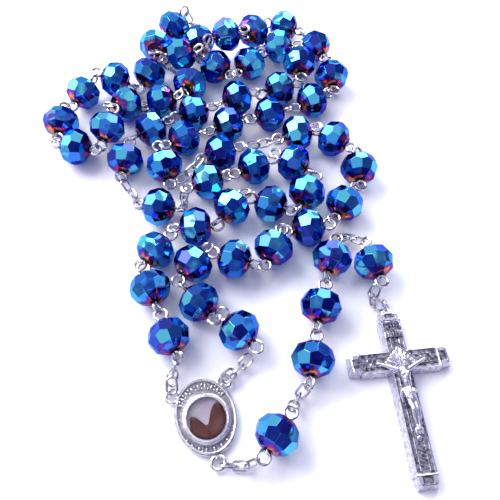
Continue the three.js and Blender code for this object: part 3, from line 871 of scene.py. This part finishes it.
def stack(bm, rings, close_start=True, close_end=True):
    """Skins a stack of equally long rings of points."""
    loops = [[bm.verts.new(p) for p in ring] for ring in rings]
    for lower, upper in zip(loops, loops[1:]):
        for n in range(len(lower)):
            m = (n + 1) % len(lower)
            bm.faces.new([lower[n], lower[m], upper[m], upper[n]])
    if close_start:
        bm.faces.new(loops[0][::-1])
    if close_end:
        bm.faces.new(loops[-1])
    return loops


def oval(half_x, half_y, z, steps=96):
    return [Vector((half_x * math.cos(math.tau * n / steps), half_y * math.sin(math.tau * n / steps), z))
            for n in range(steps)]


def bezel_oval(radius, z, steps):
    """A ring of points round the window: a little longer than it is wide, and below the medal's middle."""
    return [Vector((p.x, p.y * BEZEL_STRETCH - BEZEL_DROP, p.z)) for p in oval(radius, radius, z, steps)]


def medal_body():
    """An oval casting with a stepped rim, and a round bezel that holds the window."""
    bm = bmesh.new()
    half_x, half_y = MEDAL_WIDTH / 2, MEDAL_HEIGHT / 2
    edge = ((0.35, 0.0), (0.06, 0.12), (0.0, 0.4), (0.02, 1.05), (0.14, 1.28), (0.24, 1.3),
            (0.3, 1.5), (0.42, 1.6), (0.56, 1.56), (0.64, 1.42), (0.68, 1.3), (0.74, 1.27))
    bezel = ((4.28, 1.3), (4.2, 1.36), (4.16, 1.9), (4.05, 2.1), (3.9, 2.16), (3.84, 2.1),
             (3.76, 2.12), (3.62, 2.34), (3.48, 2.36), (3.4, 2.26), (3.36, 1.5), (3.3, 1.3))
    rings = [oval(half_x - inset, half_y - inset, z) for inset, z in edge]
    rings += [bezel_oval(radius, z, 96) for radius, z in bezel]
    stack(bm, rings)
    # Gadroons and dots in the two crescents that the bezel leaves.
    for facing in (90, 270):
        for n in range(-8, 9):
            turn = math.radians(facing + n * 6.6)
            reach = (5.25 if facing == 90 else 5.68) - 0.0075 * n * n
            place = Matrix.Rotation(turn, 4, "Z") @ Matrix.Translation((reach, 0, 1.3))
            long = (0.66 if facing == 90 else 0.42) - 0.015 * abs(n)
            if n % 2:
                scale = Matrix.Diagonal((long * 0.42, 0.22, 0.32, 1))
                for shift in (-0.28, 0.28):
                    dot = place @ Matrix.Translation((shift * long * 2, 0, 0)) @ scale
                    bmesh.ops.create_icosphere(bm, subdivisions=2, radius=1, matrix=dot)
            else:
                scale = Matrix.Diagonal((long, 0.24, 0.36, 1))
                bmesh.ops.create_icosphere(bm, subdivisions=2, radius=1, matrix=place @ scale)
    bmesh.ops.recalc_face_normals(bm, faces=bm.faces)
    hollow = bm.verts.layers.float.new("hollow")
    for vert in bm.verts:
        flat = math.hypot(vert.co.x / half_x, vert.co.y / half_y)
        sunk = 1.0 if vert.co.z < 1.34 and flat < 0.9 else 0.0
        vert[hollow] = max(sunk, 0.8 if 1.2 < vert.co.z < 1.31 else 0.0)
    return bm


# ---------------------------------------------------------------- operators


def loop_layout():
    """The loop's beads, and its strand of eyes and links."""
    beads = loop_beads()
    knots = wire_knots()
    chains, at = {}, 2
    for index in range(len(beads) + 1):
        first_of_decade = index < len(beads) and beads[index].name.endswith("_01")
        if index == len(beads) or first_of_decade or "our_father" in beads[index].name:
            chains[index] = knots[at : at + LINKS_PER_CHAIN]
            at += LINKS_PER_CHAIN
        at += 2
    return beads, Strand(ear_ring(knots[0]), beads, chains)


def ear_ring(centre):
    """The ring of an ear that lies flat."""
    ring = Ring(centre, Vector((1, 0, 0)), EAR_RADIUS)
    ring.normal = UP
    return ring


def draped(start, end, count, side):
    """Centres of the links between two rings: on an arc that bows to one side, a link's pitch apart."""
    chord = end - start
    length = LINK_PITCH * (count + 1)
    bow = side * math.sqrt(max(length**2 - chord.length**2, 0)) * 0.5
    across = chord.cross(UP).normalized()
    places = []
    for n in range(1, count + 1):
        share = n / (count + 1)
        place = start.lerp(end, share) + across * bow * math.sin(math.pi * share)
        place.z = max(place.z - 1.6 * math.sin(math.pi * share), 1.0)
        places.append(place)
    return places


def pendant_layout():
    """The pendant's beads, and its strand. Its middle links are where the frame's hinges are."""
    start = joint_place("pendant_swing")
    beads = []
    for node, count in (("pendant_our_father_1", 1), ("pendant_hail_marys", 3), ("pendant_our_father_2", 1)):
        beads += in_order(pendant_beads(node, count), beads[-1].exit if beads else start)
    chains = {0: draped(start, beads[0].entry, LINKS_PER_CHAIN, 0.3)}
    for index, joint in ((1, "hail_marys_swing"), (4, "our_father_swing")):
        middle = joint_place(joint)
        middle.z = max(middle.z, 1.3)
        chains[index] = [beads[index - 1].exit.lerp(middle, 0.5), middle,
                         middle.lerp(beads[index].entry, 0.5)]
    chains[5] = draped(beads[4].exit, joint_place("crucifix_lift"), LINKS_PER_CHAIN, 0.5)
    return beads, Strand(ear_ring(start), beads, chains)


class ROSARY_OT_beads(bpy.types.Operator):
    """Cut and coat the 59 beads, and set each on its pin"""

    bl_idname = "rosary.beads"
    bl_label = "Beads"

    def execute(self, context):
        beads = settings().beads
        material = coated_glass(beads)
        template = faceted_bead(beads)
        chance = random.Random(CHANCE_SEED)
        pendant = pendant_layout()[0]
        for number, bead in enumerate(pendant, 1):
            bead.name = f"pendant_bead_{number}"
        for bead in loop_beads() + pendant:
            bm = template.copy()
            place = bm.verts.layers.float_vector.new("bead_place")
            facet = bm.faces.layers.float.new("facet")
            for vert in bm.verts:
                vert[place] = vert.co
            for face in bm.faces:
                face[facet] = chance.random()
            turn = UP.rotation_difference(bead.axis).to_matrix().to_4x4()
            spin = Matrix.Rotation(chance.random() * math.tau, 4, "Z")
            bmesh.ops.transform(bm, matrix=Matrix.Translation(bead.centre) @ turn @ spin, verts=bm.verts)
            name = bead.name if bead.body.startswith("pendant") else bead.name + "_glass"
            make_piece(bm, name, material, bead.body, replaced=[bead.body])
        template.free()
        return {"FINISHED"}


class ROSARY_OT_wirework(bpy.types.Operator):
    """Bend the eye pins and close the chain links"""

    bl_idname = "rosary.wirework"
    bl_label = "Eye pins and chain"

    def execute(self, context):
        wires = settings().wires
        material = plated_wire(wires)
        beads, strand = loop_layout()
        groups = {}
        for index, bead in enumerate(beads):
            groups.setdefault(bead.name.rsplit("_bead_", 1)[0], []).append(index)
        for group, members in groups.items():
            bm = bmesh.new()
            for index in members:
                add_pin(bm, beads[index], strand.eyes[index], wires)
            make_piece(bm, f"{group}_eye_pins", material, "root", 40, ["loop_wire"])
        for number, links in enumerate(strand.links.values(), 1):
            self.chain(f"chain_{number:02d}", links, material, "root", ["loop_wire"])
        beads, strand = pendant_layout()
        bodies = ["pendant_our_father_1", "pendant_hail_marys", "pendant_our_father_2"]
        for number, bead in enumerate(beads):
            bm = bmesh.new()
            add_pin(bm, bead, strand.eyes[number], wires)
            make_piece(bm, f"pendant_eye_pin_{number + 1}", material, bead.body, 40,
                       [bead.body])
        upper, middle, lower = bodies
        shares = [("a", strand.links[0], upper), ("b", strand.links[1][:2], upper),
                  ("c", strand.links[1][2:], middle), ("d", strand.links[4][:2], middle),
                  ("e", strand.links[4][2:], lower), ("f", strand.links[5], lower)]
        for letter, links, body in shares:
            self.chain(f"pendant_chain_{letter}", links, material, body, [body])
        return {"FINISHED"}

    def chain(self, name, links, material, body, replaced):
        bm = bmesh.new()
        for link in links:
            add_ring(bm, link, settings().wires.link_wire)
        make_piece(bm, name, material, body, 40, replaced)


class ROSARY_OT_medal(bpy.types.Operator):
    """Cast the centre medal, and seal earth under its domed window"""

    bl_idname = "rosary.medal"
    bl_label = "Centre medal"

    def execute(self, context):
        medal = settings().medal
        place = resting_place("medal_back", MEDAL_TURN)
        silver = antique_silver("antique_silver_medal", medal.silver, medal.tarnish, 2600.0)
        bm = medal_body()
        bmesh.ops.transform(bm, matrix=place, verts=bm.verts)
        make_piece(bm, "medal_casting", silver, "root", 35, ["centre_medal"])
        bm = bmesh.new()
        for x, y in ((-4.75, 5.1), (4.75, 5.1), (0, -8.05)):
            ring = ear_ring(place @ Vector((x, y, 0.8)))
            add_ring(bm, ring, EAR_WIRE)
            foot = place @ Vector((x * 0.83, y * 0.86, 0.75))
            add_rod(bm, foot, foot.lerp(ring.centre, 0.45), 0.8)
        make_piece(bm, "medal_ears", silver, "root", 40, ["centre_medal"])
        self.window(place, medal)
        return {"FINISHED"}

    def window(self, place, medal):
        bm = bmesh.new()
        under = [(0.6, 1.95), (3.2, 1.95)]
        dome = [(3.36, 2.1), (3.2, 2.3), (2.8, 2.5), (2.2, 2.68), (1.4, 2.82), (0.6, 2.89)]
        stack(bm, [bezel_oval(r, z, 64) for r, z in under + dome])
        bmesh.ops.recalc_face_normals(bm, faces=bm.faces)
        bmesh.ops.transform(bm, matrix=place, verts=bm.verts)
        make_piece(bm, "medal_window", clear_resin(), "root", 50, ["centre_medal"])
        bm = bmesh.new()
        stack(bm, [bezel_oval(3.34, 1.36, 64), bezel_oval(3.34, 1.45, 64)])
        bmesh.ops.transform(bm, matrix=place, verts=bm.verts)
        make_piece(bm, "medal_lining", pale_lining(medal), "root", 50, ["centre_medal"])
        # Earth has settled in the lower part of the capsule: a short lobe, a cleft,
        # and a long lobe up its right side.
        bm = bmesh.new()
        rings = []
        low = Vector((0, -2.3, 0))
        for inset, z in ((0.0, 1.46), (0.05, 1.7), (0.35, 1.88), (0.6, 1.92)):
            ring = []
            for n in range(96):
                turn = math.tau * n / 96
                out = Vector((math.cos(turn), math.sin(turn), 0))
                to_rim = math.sqrt(low.dot(out) ** 2 - low.length_squared + SOIL_REACH**2) - low.dot(out)
                cleft = 1 - 0.74 * math.exp(-(((math.degrees(turn) - 96) / 25) ** 4))
                lobe = 0.55 * math.exp(-(((math.degrees(turn) - 139) / 13) ** 2))
                spot = low + out * max(to_rim * cleft - lobe - inset, 0.1)
                ring.append(Vector((spot.x, spot.y * BEZEL_STRETCH - BEZEL_DROP, z)))
            rings.append(ring)
        stack(bm, rings)
        bmesh.ops.transform(bm, matrix=place, verts=bm.verts)
        make_piece(bm, "medal_soil", earth(medal), "root", 50, ["centre_medal"])


class ROSARY_OT_crucifix(bpy.types.Operator):
    """Cast the cross, its figure, and the eye that it hangs from"""

    bl_idname = "rosary.crucifix"
    bl_label = "Crucifix"

    def execute(self, context):
        crucifix = settings().crucifix
        place = resting_place("crucifix_back", CROSS_TURN)
        silver = antique_silver("antique_silver_crucifix", crucifix.silver, crucifix.tarnish, 3200.0)
        bm = cross_block()
        bmesh.ops.transform(bm, matrix=place, verts=bm.verts)
        make_piece(bm, "crucifix_cross", silver, "crucifix", 50, ["crucifix"])
        bm = figure()
        bmesh.ops.transform(bm, matrix=place, verts=bm.verts)
        make_piece(bm, "crucifix_figure", silver, "crucifix", 80, ["crucifix"])
        bm = bmesh.new()
        add_block(bm, (1.5, 1.15, 1.1), (0.35, -12.75, 2.3))
        for n in (-1, 0, 1):
            add_block(bm, (0.34, 1.2, 0.3), (0.35 + 0.5 * n, -12.8, 2.85), 0.05)
        add_block(bm, (2.9, 0.5, 1.5), (0, CROSS_TOP - 0.1, 1.15), 0.12)
        add_block(bm, (2.3, 0.5, 1.3), (0, CROSS_TOP + 0.25, 1.3), 0.12)
        bmesh.ops.transform(bm, matrix=place, verts=bm.verts)
        make_piece(bm, "crucifix_mouldings", silver, "crucifix", 40, ["crucifix"])
        bm = bmesh.new()
        eye = Ring(joint_place("crucifix_lift"), place.to_3x3() @ Vector((0, 1, 0)), CROSS_EYE_RADIUS)
        eye.normal = place.to_3x3() @ Vector((0.88, 0, 0.47)).normalized()
        add_ring(bm, eye, CROSS_EYE_WIRE)
        make_piece(bm, "crucifix_eye", silver, "crucifix", 40, ["crucifix"])
        return {"FINISHED"}


def resting_place(mount, turn):
    """Where a casting lies: its back's middle is at the frame's mount, and it's turned by `turn` degrees."""
    at = next(m for m in frame["record"]["mounts"] if m["name"] == mount)
    return Matrix.Translation(Vector(at["pos_m"]) / MM) @ Matrix.Rotation(math.radians(turn), 4, "Z")


class ROSARY_OT_stage(bpy.types.Operator):
    """Lay the pale floor, and set the lights and the camera"""

    bl_idname = "rosary.stage"
    bl_label = "Stage"

    def execute(self, context):
        stage = settings().stage
        lowest, highest = CAD_BOX
        middle = (lowest + highest) / 2
        target = Vector((middle.x, middle.y, lowest.z)) + Vector(CAMERA_TARGET) * MM
        self.floor(stage, lowest.z)
        self.camera(stage, target)
        self.lights(target)
        return {"FINISHED"}

    def floor(self, stage, height):
        bm = bmesh.new()
        bmesh.ops.create_grid(bm, x_segments=1, y_segments=1, size=3.0,
                              matrix=Matrix.Translation((0, 0, height - FLOOR_CLEARANCE * MM)))
        mesh = bpy.data.meshes.new("floor")
        bm.to_mesh(mesh)
        bm.free()
        material, tree = new_material("pale_matt_card")
        shader = add_node(tree, "ShaderNodeBsdfPrincipled", inputs={
            "Base Color": linear(stage.floor), "Roughness": 0.7, "Specular IOR Level": 0.2,
        })
        add_node(tree, "ShaderNodeOutputMaterial", inputs={"Surface": shader.outputs[0]})
        mesh.materials.append(material)
        floor = bpy.data.objects.new("floor", mesh)
        bpy.context.scene.collection.objects.link(floor)

    def camera(self, stage, target):
        camera = bpy.data.cameras.new("camera")
        camera.lens = stage.lens
        camera.clip_start, camera.clip_end = 0.005, 10.0
        back = Vector((0, -math.cos(stage.elevation), math.sin(stage.elevation)))
        viewer = bpy.data.objects.new("camera", camera)
        viewer.location = target + back * stage.distance * MM
        viewer.rotation_mode = "QUATERNION"
        viewer.rotation_quaternion = (-back).to_track_quat("-Z", "Y")
        bpy.context.scene.collection.objects.link(viewer)
        bpy.context.scene.camera = viewer

    def lights(self, target):
        """Soft panels, in a room of light and dark patches that the facets mirror."""
        panels = [
            ("window_left", (-0.34, 0.24, 0.36), 0.40, 4.0, "#FFFFFF"),
            ("window_back", (0.16, 0.46, 0.22), 0.30, 2.0, "#F6FBFF"),
        ]
        for name, offset, size, watts, colour in panels:
            light = bpy.data.lights.new(name, "AREA")
            light.shape = "SQUARE"
            light.size = size
            light.energy = watts
            light.color = linear(colour)[:3]
            lamp = bpy.data.objects.new(name, light)
            lamp.location = target + Vector(offset)
            lamp.rotation_mode = "QUATERNION"
            lamp.rotation_quaternion = (-Vector(offset)).to_track_quat("-Z", "Y")
            bpy.context.scene.collection.objects.link(lamp)
        world = bpy.data.worlds.new("room")
        world.use_nodes = True
        tree = world.node_tree
        tree.nodes.clear()
        spot = add_node(tree, "ShaderNodeTexCoord")
        patches = add_node(tree, "ShaderNodeTexNoise", inputs={
            "Vector": spot.outputs["Generated"], "Scale": 2.1, "Detail": 1.0, "Roughness": 0.4,
        })
        toward = add_node(tree, "ShaderNodeVectorMath", {"operation": "DOT_PRODUCT"}, {
            0: spot.outputs["Generated"], 1: Vector((-0.45, 0.8, 0.4)),
        })
        side = add_node(tree, "ShaderNodeMapRange", inputs={
            "Value": toward.outputs["Value"], "From Min": -1.0, "To Min": -0.14, "To Max": 0.14,
        })
        fill = add_node(tree, "ShaderNodeMath", {"operation": "ADD"}, {
            0: patches.outputs["Fac"], 1: side.outputs[0],
        })
        ramp = set_ramp(add_node(tree, "ShaderNodeValToRGB", inputs={"Fac": fill.outputs[0]}), [
            (0.38, linear("#565094")), (0.5, linear("#8C88B8")), (0.58, linear("#F4F6FF")),
        ])
        sky = add_node(tree, "ShaderNodeBackground", inputs={
            "Color": ramp.outputs["Color"], "Strength": 1.1,
        })
        add_node(tree, "ShaderNodeOutputWorld", inputs={"Surface": sky.outputs[0]})
        bpy.context.scene.world = world
        bpy.context.scene.view_settings.view_transform = "Standard"


class RosarySettings(bpy.types.PropertyGroup):
    beads: bpy.props.PointerProperty(type=BeadSettings)
    wires: bpy.props.PointerProperty(type=WireSettings)
    medal: bpy.props.PointerProperty(type=MedalSettings)
    crucifix: bpy.props.PointerProperty(type=CrucifixSettings)
    stage: bpy.props.PointerProperty(type=StageSettings)


class ROSARY_PT_panel(bpy.types.Panel):
    """Everything that builds the rosary, in order"""

    bl_label = "Rosary"
    bl_idname = "ROSARY_PT_panel"
    bl_space_type = "VIEW_3D"
    bl_region_type = "UI"
    bl_category = "Rosary"

    def draw(self, context):
        for operator in OPERATORS:
            self.layout.operator(operator.bl_idname)


OPERATORS = (ROSARY_OT_stage, ROSARY_OT_beads, ROSARY_OT_wirework, ROSARY_OT_medal, ROSARY_OT_crucifix)
SETTINGS = (BeadSettings, WireSettings, MedalSettings, CrucifixSettings, StageSettings, RosarySettings)
CLASSES = SETTINGS + OPERATORS + (ROSARY_PT_panel,)


def register():
    for cls in CLASSES:
        bpy.utils.register_class(cls)
    bpy.types.Scene.rosary = bpy.props.PointerProperty(type=RosarySettings)


def unregister():
    del bpy.types.Scene.rosary
    for cls in reversed(CLASSES):
        bpy.utils.unregister_class(cls)


def main():
    register()
    bpy.ops.rosary.stage()
    bpy.ops.rosary.beads()
    bpy.ops.rosary.wirework()
    bpy.ops.rosary.medal()
    bpy.ops.rosary.crucifix()


if __name__ == "__main__":
    main()
